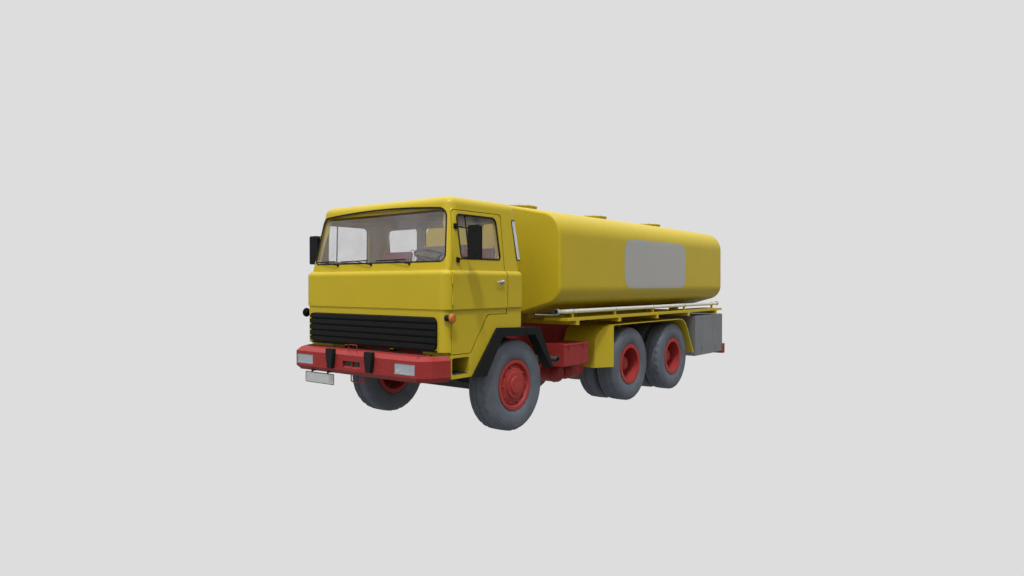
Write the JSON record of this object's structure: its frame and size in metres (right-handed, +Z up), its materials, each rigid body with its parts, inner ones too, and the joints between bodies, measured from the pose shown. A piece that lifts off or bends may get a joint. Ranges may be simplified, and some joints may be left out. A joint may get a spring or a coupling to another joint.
{
  "type": "fuel tanker truck",
  "caption": "Three-axle fuel tanker truck with a tilting forward-control cab and a long low-crowned tank with side walkways.",
  "frame": {"origin": "on the ground, at the centre of the truck's length and width", "axes": "+Z up, the front of the truck faces -Y, +X is the driver's side"},
  "size_m": [2.97, 8.025, 2.894],
  "materials": {
    "yellow_paint": "satin",
    "red_paint": "satin",
    "rim_paint": "satin",
    "tyre": "matte",
    "dark_metal": "matte",
    "black_rubber": "matte",
    "black_plastic": "matte",
    "glass": "clear",
    "lamp_glass": "clear",
    "amber_plastic": "gloss",
    "seat_fabric": "matte",
    "seat_metal": "satin",
    "galvanised": "brushed",
    "white_paint": "satin",
    "ladder_metal": "satin"
  },
  "bodies": {
    "chassis": {"chassis_frame": "red_paint", "axle_beams": "dark_metal", "leaf_springs": "dark_metal", "engine_and_shafts": "dark_metal", "front_bumper": "red_paint", "bumper_guards": "black_rubber", "lamps": "lamp_glass", "arch_flares_frame": "black_plastic", "tank_barrel": "yellow_paint", "walkways": "yellow_paint", "hose_tubes": "white_paint", "rear_mudguards": "yellow_paint", "lockers": "galvanised", "battery_box": "red_paint", "fuel_tank": "red_paint", "air_reservoirs": "red_paint", "exhaust": "dark_metal", "rear_ladder": "ladder_metal"},
    "cab": {"cab_shell": "yellow_paint", "cab_roof": "yellow_paint", "cab_floor": "yellow_paint", "cab_front_wall": "yellow_paint", "cab_screen_frame": "yellow_paint", "cab_rear_wall": "yellow_paint", "cab_steps": "yellow_paint", "cab_glass": "glass", "grille": "black_plastic", "arch_flares_cab": "black_plastic", "indicators": "amber_plastic", "seat_cushions": "seat_fabric", "seat_boxes": "seat_metal", "dashboard": "black_plastic"},
    "door_left": {"door_left": "yellow_paint", "door_glass_left": "glass", "mirror_left": "black_plastic"},
    "door_right": {"door_right": "yellow_paint", "door_glass_right": "glass", "mirror_right": "black_plastic"},
    "steer_left": {"knuckle_left": "dark_metal"},
    "steer_right": {"knuckle_right": "dark_metal"},
    "tie_rod": {"tie_rod": "dark_metal"},
    "wheel_front_left": {"tyre_front_left": "tyre", "rim_front_left": "rim_paint"},
    "wheel_front_right": {"tyre_front_right": "tyre", "rim_front_right": "rim_paint"},
    "wheel_mid_left": {"tyre_mid_left": "tyre", "rim_mid_left": "rim_paint"},
    "wheel_mid_right": {"tyre_mid_right": "tyre", "rim_mid_right": "rim_paint"},
    "wheel_rear_left": {"tyre_rear_left": "tyre", "rim_rear_left": "rim_paint"},
    "wheel_rear_right": {"tyre_rear_right": "tyre", "rim_rear_right": "rim_paint"},
    "lid_1": {"manhole_lid_1": "yellow_paint"},
    "lid_2": {"manhole_lid_2": "yellow_paint"},
    "lid_3": {"manhole_lid_3": "yellow_paint"},
    "locker_door_left": {"locker_door_left": "galvanised"},
    "locker_door_right": {"locker_door_right": "galvanised"}
  },
  "joints": [
    {"name": "cab_tilt", "type": "hinge", "parent": "chassis", "child": "cab", "pos_m": [0, -3.7175, 0.97], "axis": [1, 0, 0], "range_deg": [0, 45]},
    {"name": "door_left_hinge", "type": "hinge", "parent": "cab", "child": "door_left", "pos_m": [1.247, -3.6175, 1.8], "axis": [0, 0, -1], "range_deg": [0, 70]},
    {"name": "door_right_hinge", "type": "hinge", "parent": "cab", "child": "door_right", "pos_m": [-1.247, -3.6175, 1.8], "axis": [0, 0, 1], "range_deg": [0, 70]},
    {"name": "steer_left", "type": "hinge", "parent": "chassis", "child": "steer_left", "pos_m": [0.95, -2.4755, 0.548], "axis": [0, 0, 1], "range_deg": [-35, 35]},
    {"name": "steer_right", "type": "hinge", "parent": "chassis", "child": "steer_right", "pos_m": [-0.95, -2.4755, 0.548], "axis": [0, 0, 1], "range_deg": [-35, 35]},
    {"name": "tie_rod_pivot", "type": "hinge", "parent": "steer_left", "child": "tie_rod", "pos_m": [0.86, -2.2555, 0.437], "axis": [0, 0, 1], "range_deg": [-40, 40]},
    {"name": "spin_front_left", "type": "hinge", "parent": "steer_left", "child": "wheel_front_left", "pos_m": [1.05, -2.4755, 0.548], "axis": [1, 0, 0], "continuous": true},
    {"name": "spin_front_right", "type": "hinge", "parent": "steer_right", "child": "wheel_front_right", "pos_m": [-1.05, -2.4755, 0.548], "axis": [1, 0, 0], "continuous": true},
    {"name": "spin_mid_left", "type": "hinge", "parent": "chassis", "child": "wheel_mid_left", "pos_m": [1.05, 0.3325, 0.548], "axis": [1, 0, 0], "continuous": true},
    {"name": "spin_mid_right", "type": "hinge", "parent": "chassis", "child": "wheel_mid_right", "pos_m": [-1.05, 0.3325, 0.548], "axis": [1, 0, 0], "continuous": true},
    {"name": "spin_rear_left", "type": "hinge", "parent": "chassis", "child": "wheel_rear_left", "pos_m": [1.05, 1.7825, 0.548], "axis": [1, 0, 0], "continuous": true},
    {"name": "spin_rear_right", "type": "hinge", "parent": "chassis", "child": "wheel_rear_right", "pos_m": [-1.05, 1.7825, 0.548], "axis": [1, 0, 0], "continuous": true},
    {"name": "lid_1_hinge", "type": "hinge", "parent": "chassis", "child": "lid_1", "pos_m": [0, -0.5944, 2.878], "axis": [-1, 0, 0], "range_deg": [0, 100]},
    {"name": "lid_2_hinge", "type": "hinge", "parent": "chassis", "child": "lid_2", "pos_m": [0, 1.3925, 2.878], "axis": [-1, 0, 0], "range_deg": [0, 100]},
    {"name": "lid_3_hinge", "type": "hinge", "parent": "chassis", "child": "lid_3", "pos_m": [0, 3.3794, 2.878], "axis": [-1, 0, 0], "range_deg": [0, 100]},
    {"name": "locker_door_left_hinge", "type": "hinge", "parent": "chassis", "child": "locker_door_left", "pos_m": [1.237, 3.1525, 1.19], "axis": [0, -1, 0], "range_deg": [0, 85]},
    {"name": "locker_door_right_hinge", "type": "hinge", "parent": "chassis", "child": "locker_door_right", "pos_m": [-1.237, 3.1525, 1.19], "axis": [0, 1, 0], "range_deg": [0, 85]}
  ],
  "couplings": [
    {"joint": "steer_right", "follows": "steer_left", "ratio": 1},
    {"joint": "tie_rod_pivot", "follows": "steer_left", "ratio": -1.096}
  ]
}
